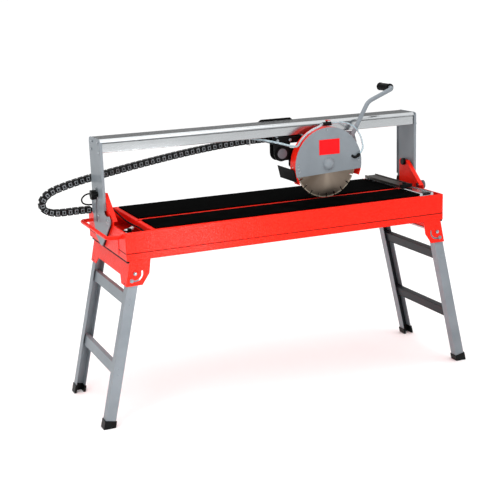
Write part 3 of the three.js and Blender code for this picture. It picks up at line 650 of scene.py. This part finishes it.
def makeBail():
    root = -trayEnd["wall"]
    stem = tube("bail_bar", roundedRoute([
        (root, bail["front"], bail["z"]), (bail["x"], bail["front"], bail["z"]),
        (bail["x"], bail["back"], bail["z"]), (root, bail["back"], bail["z"]),
    ], bail["bend"]), bail["radius"])
    welds = [turned("weld", [(8, 0), (11.5, 0), (10.5, 2), (8.4, 3.5), (8, 0)],
                    at(root, y, bail["z"]), -axisX, 24) for y in (bail["front"], bail["back"])]
    finish(joined("bail_bar_welded", [stem, *welds]), "frame", "redEnamel", "bail_handle")


makeTrayEnds()
makeBail()


# leg fastenings; the axle's and rivets' profiles are radius and place along the axis, in mm
legs = {"pivotX": 724, "pivotZ": 648, "splay": 12.7, "boltX": 739, "boltZ": 619, "front": 0, "back": 513,
        "axle": [(0, -7), (4, -6.6), (7.2, -5), (8.6, -2.4), (8.6, -0.3), (5, -0.3), (5, 513.3), (8.6, 513.3),
                 (8.6, 515.4), (7.2, 518), (4, 519.6), (0, 520)],
        "rungDrops": (120, 418), "rivetOffset": 12, "rivetFront": 3.6, "rivetBack": 509.4,
        "rivet": [(0, 1.8), (2.4, 1.5), (4.2, 0), (0, -0.4)],
        "coverLow": (-1.2, 8, -20.4), "coverHigh": (1.2, 505, 20.4), "coverIn": 10.8,
        "plugX": 762.2, "plugZ": 604, "plugY": (27, 486),
        "plug": [(0, 0.6), (3, 0.6), (3.6, 0.2), (3.6, -1.5), (0, -1.5)]}


def makeLegFastenings():
    for name, side in sides.items():
        pivot = at(side * legs["pivotX"], 0, legs["pivotZ"])
        axle = turned(name + "_leg_axle", legs["axle"], pivot, axisY, 28)
        finish(axle, name + "_legs", "zincSteel", name + "_leg_pivot_rod")
        bolts = [hexBolt("lock_bolt", at(side * legs["boltX"], y, legs["boltZ"]), way, 13, 6)
                 for y, way in ((legs["front"], -axisY), (legs["back"], axisY))]
        finish(joined(name + "_leg_lock_bolts", bolts), "frame", "greyPowder")
        # rivets that hold the rungs, on the outer faces of both legs
        splay = side * radians(legs["splay"])
        down = Vector((sin(splay), 0, -cos(splay)))
        flat = Vector((cos(splay), 0, sin(splay)))
        rivets = []
        for drop in legs["rungDrops"]:
            for offset in (-legs["rivetOffset"], legs["rivetOffset"]):
                middle = pivot + down * ((drop + offset) * mm)
                for y, way in ((legs["rivetFront"], -axisY), (legs["rivetBack"], axisY)):
                    face = Vector((middle.x, at(0, y, 0).y, middle.z))
                    rivets.append(turned("rivet", legs["rivet"], face, way, 16))
        finish(joined(name + "_rung_rivets", rivets), name + "_legs", "greyPowder")
        covers = []  # a flat strip closes the open side of each rung
        for drop in legs["rungDrops"]:
            strip = bar("strip", Vector(legs["coverLow"]) * mm, Vector(legs["coverHigh"]) * mm)
            place = pivot + down * (drop * mm) - flat * (side * legs["coverIn"] * mm)
            strip.data.transform(Matrix.Translation(place) @ Matrix.Rotation(-splay, 4, "Y"))
            covers.append(soften(strip, 0.4))
        # the strips are in the dark grey of painted shade
        finish(joined(name + "_rung_covers", covers), name + "_legs", "paintedShadeGrey")
        plugs = [turned("plug", legs["plug"], at(side * legs["plugX"], y, legs["plugZ"]), axisX * side, 16)
                 for y in legs["plugY"]]
        finish(joined(name + "_bracket_plugs", plugs), "frame", "blackPlastic")


makeLegFastenings()
print("tray ends and legs are fastened")


# uprights: rail bolts, tilt pointers and lock knobs, as places in Y and Z in mm
uprights = {"outer": 768, "railBolts": [(353, 1151), (267, 1153), (371, 1117), (257, 1114)],
            "stopBolt": (333, 947), "pivotCap": (202, 830), "pointerThickness": 2.5,
            "pointer": [(313, 838), (337, 838), (337, 834), (328, 832), (325, 822), (322, 832), (313, 834)]}
starKnob = {"place": (325, 927), "near": 775.5, "far": 799, "radius": 20, "lobes": 6, "lobeDepth": 0.1,
            "hub": [(6, -13), (6, 0.3), (13, 0.3), (13, 7.5), (15, 8), (0, 8)],
            "nut": [(6, -18), (17, -18), (17, -27), (14, -31), (0, -31)],
            "cap": [(0, 32.4), (7, 32), (9, 31), (9, 28), (0, 28)]}


def makeStarKnob(name, side):
    place = starKnob["place"]
    grip = rod(name + "_knob", starKnob["radius"], at(side * starKnob["near"], *place),
               at(side * starKnob["far"], *place), 96)
    centre = at(0, *place)
    for vertex in grip.data.vertices:
        spoke = Vector((0, vertex.co.y - centre.y, vertex.co.z - centre.z))
        if spoke.length < 5 * mm:  # the ends' middles stay where they are
            continue
        wave = 1 + starKnob["lobeDepth"] * cos(starKnob["lobes"] * axisY.angle(spoke))
        vertex.co.y = centre.y + spoke.y * wave
        vertex.co.z = centre.z + spoke.z * wave
    soften(grip, 2.5, 3, 50)
    inside = [turned(part, starKnob[part], at(side * uprights["outer"], *place), axisX * side, 28)
              for part in ("hub", "nut", "cap")]
    finish(joined(name + "_star_knob", [grip, *inside]), name + "_knob", "blackPlastic", name + "_lock_knob")


def makeUprightFittings():
    for name, side in sides.items():
        out, outer = axisX * side, side * uprights["outer"]
        heads = [hexBolt("rail_bolt", at(outer, y, z), out, 9, 5.5) for y, z in uprights["railBolts"]]
        heads.append(hexBolt("stop_bolt", at(outer, *uprights["stopBolt"]), out, 13, 8))
        heads.append(turned("pivot_cap", [(0, 4), (7, 3.4), (10, 1.4), (10.5, 0), (0, -0.3)],
                            at(outer, *uprights["pivotCap"]), out, 24))
        finish(joined(name + "_upright_bolts", heads), "bridge", "zincSteel")
        faces = between(side, uprights["outer"], uprights["outer"] + uprights["pointerThickness"])
        pointer = slab(name + "_tilt_pointer", uprights["pointer"], *faces, "x")
        finish(soften(pointer, 0.4), "bridge", "zincSteel")
        makeStarKnob(name, side)


makeUprightFittings()


# drag chain: its route in X and Z at one Y, and one link, in mm
chain = {"y": 430, "pitch": 27,
         "route": [(72, 1080), (-57, 1077), (-253, 1060), (-491, 1028), (-704, 993), (-800, 976), (-890, 955),
                   (-950, 934), (-984, 903), (-984, 871), (-953, 850), (-905, 844), (-840, 845), (-772, 844)]}
chainLink = {"length": 23, "width": 32, "height": 28, "frame": 3, "sunk": 2.2, "boss": 1.8, "bossInset": 3.4,
             "neckHalfWidth": 12, "neckHalfHeight": 9, "pinRadius": 6.5, "pinHalf": 15.2}


def makeLink():
    # one link at the origin: a sleeve with a sunk panel and a boss on each cheek
    length, width, height = (chainLink[name] * mm for name in ("length", "width", "height"))
    sleeve = bar("link", Vector((-length, -width, -height)) / 2, Vector((length, width, height)) / 2)
    for finishName in ("blackPlastic", "highlightGreyNylon"):
        sleeve.data.materials.append(finishes[finishName][0])
    for cheek in (-1, 1):
        selectFaces(sleeve, lambda polygon: polygon.normal.y * cheek > 0.9 and polygon.area > 0.0003)
        bpy.ops.mesh.inset(thickness=chainLink["frame"] * mm, depth=0)
        bpy.ops.mesh.inset(thickness=1 * mm, depth=-chainLink["sunk"] * mm)
        sleeve.active_material_index = 1  # the sunk panel is painted light grey as a highlight
        bpy.ops.object.material_slot_assign()
        bpy.ops.mesh.inset(thickness=chainLink["bossInset"] * mm, depth=0)
        bpy.ops.mesh.inset(thickness=0.6 * mm, depth=chainLink["boss"] * mm)
        sleeve.active_material_index = 0
        bpy.ops.object.material_slot_assign()
        bpy.ops.object.mode_set(mode="OBJECT")
    soften(sleeve, 0.9, 1)
    # a neck and a pin join it to the next link
    wide, tall, pinHalf = (chainLink[name] * mm for name in ("neckHalfWidth", "neckHalfHeight", "pinHalf"))
    neck = bar("neck", Vector((length / 2 - 0.6 * mm, -wide, -tall)),
               Vector((length / 2 + 5 * mm, wide, tall)))
    pinX = length / 2 + 2 * mm
    pin = rod("pin", chainLink["pinRadius"], Vector((pinX, -pinHalf, 0)), Vector((pinX, pinHalf, 0)), 12)
    for part in (neck, pin):
        part.data.materials.append(finishes["blackPlastic"][0])
    return joined("link", [sleeve, soften(neck, 0.6, 1), soften(pin, 0.8, 1)])


def layChain():
    route = smoothRoute([(x, chain["y"], z) for x, z in chain["route"]], chain["pitch"])
    link = makeLink()
    runs = {"upper": [], "lower": []}
    turnedBack = False
    for a, b in zip(route, route[1:]):
        # the band has turned back once it heads to the right again
        turnedBack = turnedBack or b.x > a.x
        along = (b - a).normalized()
        place = Matrix((along, axisY, along.cross(axisY))).transposed().to_4x4()
        copy = linked("link", link.data.copy())
        copy.data.transform(Matrix.Translation((a + b) / 2) @ place)
        runs["lower" if turnedBack else "upper"].append(copy)
    bpy.data.objects.remove(link)
    lower = joined("drag_chain_lower_run", runs["lower"])
    upper = joined("drag_chain_upper_run", runs["upper"])
    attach(lower, "bridge")
    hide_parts("drag_chain")
    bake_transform(upper)
    tie = bar("tie", at(-17, 413.2, 1058), at(-13, 446.8, 1090))
    finish(soften(tie, 0.8), "carriage", "whiteNylon")


layChain()
print("chain links are laid")


# lead and hoses, as points in mm
leadRoute = [(-752, 419, 913), (-772, 425, 915), (-795, 430, 909), (-811, 431, 891), (-806, 429, 875),
             (-790, 424, 868), (-772, 420, 867), (-751, 420, 865), (-728, 409, 866), (-706, 388, 861),
             (-692, 325, 843), (-683, 235, 824), (-670, 186, 813), (-655, 120, 806), (-652, 72, 796),
             (-664, 50, 780), (-685, 46, 768), (-697, 54, 764), (-698, 69, 762)]
cords = {"leadRadius": 3.5, "waterRadius": 5, "sprayRadius": 4, "elbowRadius": 6,
         "clipX": (246, 290), "clip": [(5, -3), (7.2, -3), (7.2, 3), (5, 3), (5, -3)],
         "waterStart": [(-62, 404, 1094), (-48, 350, 1101), (-28, 292, 1102), (-2, 244, 1098), (32, 227, 1090),
                        (72, 212, 1078), (96, 198, 1072)],
         "spray": [(289.5, 200, 1157.5), (330, 200, 1159), (373, 200, 1151), (415, 199, 1126), (437, 197, 1092),
                   (443, 190, 1062), (438, 176, 1040), (424, 166, 1023), (413, 166, 1012), (404, 167, 1004)],
         "elbow": [(417, 166, 1015), (404, 167, 1004), (392, 167, 1000), (384, 169, 1004), (381, 174, 1008)],
         "sprayNut": [(4.2, -6), (8, -6), (8, 6), (4.2, 6), (4.2, -6)]}
# the water hose follows the guard's rim over part of a circle; angles in degrees
guardArc = {"x": 262, "z": 979, "radius": 175, "from": 148, "to": 97, "steps": 8}


def makeLead():
    lead = tube("pump_lead_whole", smoothRoute(leadRoute, 8), cords["leadRadius"])
    lead.data.materials.append(finishes["softRubber"][0])
    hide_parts("pump_lead", "cable_loop")
    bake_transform(lead)


def makeHoses():
    steps, spread = guardArc["steps"], guardArc["to"] - guardArc["from"]
    angles = [radians(guardArc["from"] + spread * i / steps) for i in range(steps)]
    overGuard = [(guardArc["x"] + guardArc["radius"] * cos(a), 186, guardArc["z"] + guardArc["radius"] * sin(a))
                 for a in angles]
    hose = tube("water_hose_whole", smoothRoute([*cords["waterStart"], *overGuard, (244, 198, 1157.5)], 7),
                cords["waterRadius"])
    hose.data.materials.append(finishes["clearHose"][0])
    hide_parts("water_hose")
    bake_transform(hose)
    spray = tube("spray_hose_whole", smoothRoute(cords["spray"], 7), cords["sprayRadius"])
    finish(spray, "head", "clearHose", "spray_hose")
    elbow = tube("spray_elbow", smoothRoute(cords["elbow"], 3), cords["elbowRadius"])
    nut = turned("spray_nut", cords["sprayNut"], at(409, 166, 1008), Vector((0.7, 0, 0.71)).normalized(), 6)
    finish(joined("spray_elbow_nut", [elbow, soften(nut, 0.5)]), "head", "blackPlastic")
    clips = [turned("clip", cords["clip"], at(x, 200, 1157.5), axisX, 24) for x in cords["clipX"]]
    finish(joined("hose_clips", [soften(clip, 0.4) for clip in clips]), "head", "zincSteel")


pump = {"barbStart": (-714, 148, 789), "barbEnd": (-664, 184, 797),
        "barb": [(0, 0), (9, 0), (10, 2), (10, 12), (7, 14), (8.5, 20), (7, 21), (8.5, 27), (7, 28), (8.5, 34),
                 (7, 36), (7, 60), (0, 60)],
        "loop": [(-722, 190, 778), (-728, 160, 792), (-722, 130, 800), (-704, 120, 796), (-690, 134, 786),
                 (-692, 156, 778)]}


def makePumpOutlet():
    # a barbed outlet with a hose stub beside the pump
    start, end = at(*pump["barbStart"]), at(*pump["barbEnd"])
    barb = turned("pump_barb", pump["barb"], start, (end - start).normalized(), 24)
    finish(soften(barb, 0.4), "frame", "whiteNylon")
    loop = tube("pump_lead_loop", smoothRoute(pump["loop"], 5), cords["leadRadius"])
    finish(loop, "frame", "softRubber")


makeLead()
makeHoses()
makePumpOutlet()
print("lead and hoses are routed")


# carriage fastenings and the head's plunge pivot
carriage = {"cheekBolts": (42, 104, 176), "cheekZ": 1095, "cheekY": 240, "backBolts": (45, 173), "backZ": 1139,
            "backY": 401}
plunge = {"x": 60, "z": 1038,
          "ring": [(23, 228.4), (27, 228), (29, 229.6), (29, 237.7), (23, 237.7), (23, 228.4)],
          "disc": [(0, 228.6), (20, 228.8), (23, 229.4), (23, 237.6), (10, 237.6), (10, 294), (0, 294)]}


def makeCarriageFittings():
    bolts = [hexBolt("cheek_bolt", at(x, carriage["cheekY"], carriage["cheekZ"]), -axisY, 11, 6)
             for x in carriage["cheekBolts"]]
    bolts += [hexBolt("back_bolt", at(x, carriage["backY"], carriage["backZ"]), axisY, 11, 6)
              for x in carriage["backBolts"]]
    finish(joined("carriage_bolts", bolts), "carriage", "zincSteel")
    centre = at(plunge["x"], 0, plunge["z"])
    finish(soften(turned("plunge_ring", plunge["ring"], centre, axisY, 48), 0.5), "carriage", "softRubber")
    finish(turned("plunge_disc", plunge["disc"], centre, axisY, 48), "carriage", "greyPlastic", "plunge_pin")


# motor on the blade's axis: profiles as radius and Y in mm
motor = {"fins": 28, "finInner": 59, "finOuter": 65.5, "finFront": 264, "finBack": 361, "finHalf": 1.2,
         "ribs": 18, "ribInner": 16, "ribOuter": 56, "ribFront": 395, "ribBack": 397.6, "ribHalf": 1.6,
         "shell": [(50, 252.3), (64, 252.3), (64, 262), (60, 264), (60, 360), (64, 362), (64, 368), (12, 368),
                   (12, 362), (50, 362), (50, 252.3)],
         "cover": [(60, 368.3), (67, 368.3), (67, 386), (65, 391), (58, 396), (12, 396), (10, 394), (0, 394),
                   (0, 391.5), (56, 391.5), (60, 386), (60, 368.3)],
         "boxLow": (222, 285, 1034), "boxHigh": (284, 345, 1052)}


def makeSpokes(name, width, centre):
    # one rib or fin beside the axis, copied all the way round
    x, z = arbor["x"], arbor["z"]
    spoke = bar(name, at(x + motor[name + "Inner"], motor[name + "Front"], z - motor[name + "Half"]),
                at(x + motor[name + "Outer"], motor[name + "Back"], z + motor[name + "Half"]))
    return around(soften(spoke, width, 1), centre, axisY, motor[name + "s"])


def makeMotor():
    centre = at(arbor["x"], 0, arbor["z"])
    shell = turned("motor_shell", motor["shell"], centre, axisY, 64)
    fins = makeSpokes("fin", 0.6, centre)
    finish(joined("motor_finned", [soften(shell, 0.8), fins]), "head", "blackPaint", "motor_housing")
    cover = turned("fan_cover", motor["cover"], centre, axisY, 64)
    ribs = makeSpokes("rib", 0.8, centre)
    finish(joined("motor_fan_cover_ribbed", [soften(cover, 0.8), ribs]), "head", "blackPlastic",
           "motor_fan_cover")
    box = bar("terminal_box", at(*motor["boxLow"]), at(*motor["boxHigh"]))
    finish(soften(box, 4, 3), "head", "blackPlastic")


# guard label, cover screws in X and Z, and rivets round the rim in degrees
guard = {"front": 172, "screws": [(254, 1135), (414, 988), (109, 988), (112, 972), (115, 959), (108, 942)],
         "screw": [(0, 0), (1, 0.2), (1.6, 2.2), (4.2, 1.6), (5, 0.2), (5, -0.3), (0, -0.3)],
         "label": (214, 317, 1024, 1092), "labelFront": 170.9, "rimRadius": 167, "rimY": 200,
         "rimRivets": (181, 187, 60), "rimRivet": [(0, 1.8), (3, 1.4), (4, 0), (0, -0.3)]}


def makeGuardFittings():
    left, right, low, high = guard["label"]
    label = bar("guard_label", at(left, guard["labelFront"], low), at(right, guard["front"], high))
    finish(soften(label, 0.4), "head", "redVinyl")
    heads = [turned("screw", guard["screw"], at(x, guard["front"], z), -axisY, 20) for x, z in guard["screws"]]
    for angle in map(radians, guard["rimRivets"]):
        place = at(guardArc["x"] + guard["rimRadius"] * cos(angle), guard["rimY"],
                   guardArc["z"] + guard["rimRadius"] * sin(angle))
        heads.append(turned("rim_rivet", guard["rimRivet"], place, Vector((cos(angle), 0, sin(angle))), 16))
    finish(joined("guard_screws", heads), "head", "zincSteel")


blade = {"hole": 12.8, "core": 131, "shoulder": 130, "tip": 144.5, "radius": 150, "segments": 22, "gap": 5.5,
         "front": 200.4, "back": 203.6, "coreFront": 200.8, "coreBack": 203.2}


def makeBlade():
    centre = at(arbor["x"], 0, arbor["z"])
    hole, rim, front, back = (blade[name] for name in ("hole", "core", "coreFront", "coreBack"))
    core = turned("blade_core", [(hole, front), (rim - 0.4, front), (rim, front + 0.3), (rim, back - 0.3),
                                 (rim - 0.4, back), (hole, back), (hole, front)], centre, axisY, 132)
    finish(core, "spindle", "bladeSteel", "blade")
    half = pi / blade["segments"] - blade["gap"] / 2 / blade["radius"]
    ways = (-1, -0.6, -0.2, 0.2, 0.6, 1)
    bands = (("blade_shoulders", blade["shoulder"], blade["tip"], "bladeSteel"),
             ("blade_tips", blade["tip"], blade["radius"], "bladeRim"))
    for name, inner, outer, finishName in bands:
        outline = []
        for radius, order in ((outer, ways), (inner, reversed(ways))):
            outline += [(arbor["x"] + radius * cos(half * way), arbor["z"] + radius * sin(half * way))
                        for way in order]
        segment = soften(slab(name, outline, blade["front"], blade["back"], "y"), 0.25, 1, 50)
        finish(around(segment, centre, axisY, blade["segments"]), "spindle", finishName)


# feed handle: stem and lug in X and Z, grip as radius and Y, in mm
handle = {"y": 219, "radius": 10, "bend": 22, "foot": (405, 1088), "elbow": (492, 1239), "tip": (622, 1291),
          "end": 332, "lug": [(340, 1116), (420, 1112), (436, 1060), (424, 1012), (404, 1002), (330, 1036)],
          "lugFront": 226, "lugBack": 232, "lugBolts": ((352, 1096), (408, 1030)), "standoff": (342, 1044),
          "gripStart": [(10.4, 243), (17, 243), (19, 244.5), (19, 249), (17.4, 252)],
          "gripEnd": [(18.6, 328), (18.6, 333), (16, 336), (0, 337), (0, 332.5), (10.4, 332.5), (10.4, 243)],
          "ridges": 9, "ridgePitch": 8, "ridgeLow": 16.6, "ridgeHigh": 17.5, "ridgeFrom": 254}


def makeHandle():
    def bent(place, y):
        return place[0], y, place[1]
    y = handle["y"]
    stem = tube("handle_stem", roundedRoute([bent(handle["foot"], y), bent(handle["elbow"], y),
                                             bent(handle["tip"], y), bent(handle["tip"], handle["end"])],
                                            handle["bend"]), handle["radius"])
    lug = slab("handle_lug", handle["lug"], handle["lugFront"], handle["lugBack"], "y")
    standoff = rod("standoff", 7, at(*bent(handle["standoff"], 231)), at(*bent(handle["standoff"], 245.7)))
    finish(joined("feed_handle", [stem, soften(lug, 1.2), soften(standoff, 0.5)]), "head", "greyPowder",
           "handle_tube")
    bolts = [hexBolt("lug_bolt", at(x, handle["lugFront"], z), -axisY, 10, 5) for x, z in handle["lugBolts"]]
    finish(joined("handle_bolts", bolts), "head", "zincSteel")
    grip = list(handle["gripStart"])
    low, high = handle["ridgeLow"], handle["ridgeHigh"]
    for i in range(handle["ridges"]):
        ridge = handle["ridgeFrom"] + handle["ridgePitch"] * i
        grip += [(low, ridge), (high, ridge + 3), (high, ridge + 5), (low, ridge + 8)]
    tip = handle["tip"]
    finish(turned("handle_sleeve", grip + handle["gripEnd"], at(tip[0], 0, tip[1]), axisY, 40), "head",
           "softRubber", "handle_grip")


# the fence's end cap and thumbscrew, and the stop rail's plug and slot: opposite corners in mm
fenceEnd = {"cap": ((628.5, 162, 834.8), (693.5, 169, 850.5)), "thumbscrew": (661, 180, 843.8),
            "plug": ((650, 4.6, 822.5), (692, 7.5, 832.5)), "slot": ((652, 14, 831.2), (690, 30, 831.7))}


def makeFenceFittings():
    cap = bar("fence_cap", *(at(*corner) for corner in fenceEnd["cap"]))
    finish(soften(cap, 1.5), "fence", "blackPlastic")
    clamp = turned("fence_thumbscrew", [(0, 13), (8, 12.6), (10, 10), (10, 4), (5, 3), (5, -0.5), (0, -0.5)],
                   at(*fenceEnd["thumbscrew"]), axisZ, 28)
    finish(clamp, "fence", "blackPlastic")
    plug = bar("stop_rail_plug", *(at(*corner) for corner in fenceEnd["plug"]))
    finish(soften(plug, 3.5, 3), "frame", "blackPlastic")
    slot = bar("stop_rail_slot", *(at(*corner) for corner in fenceEnd["slot"]))
    finish(soften(slot, 0.2), "frame", "blackPlastic")


makeCarriageFittings()
makeMotor()
makeGuardFittings()
makeBlade()
makeHandle()
makeFenceFittings()
print("carriage, motor, guard, blade and handle are finished")


bpy.ops.mesh.primitive_plane_add(size=400, location=(0, 0, 0))
floor = bpy.context.active_object
floor.name = "floor"
floor.data.materials.append(paleFloor())
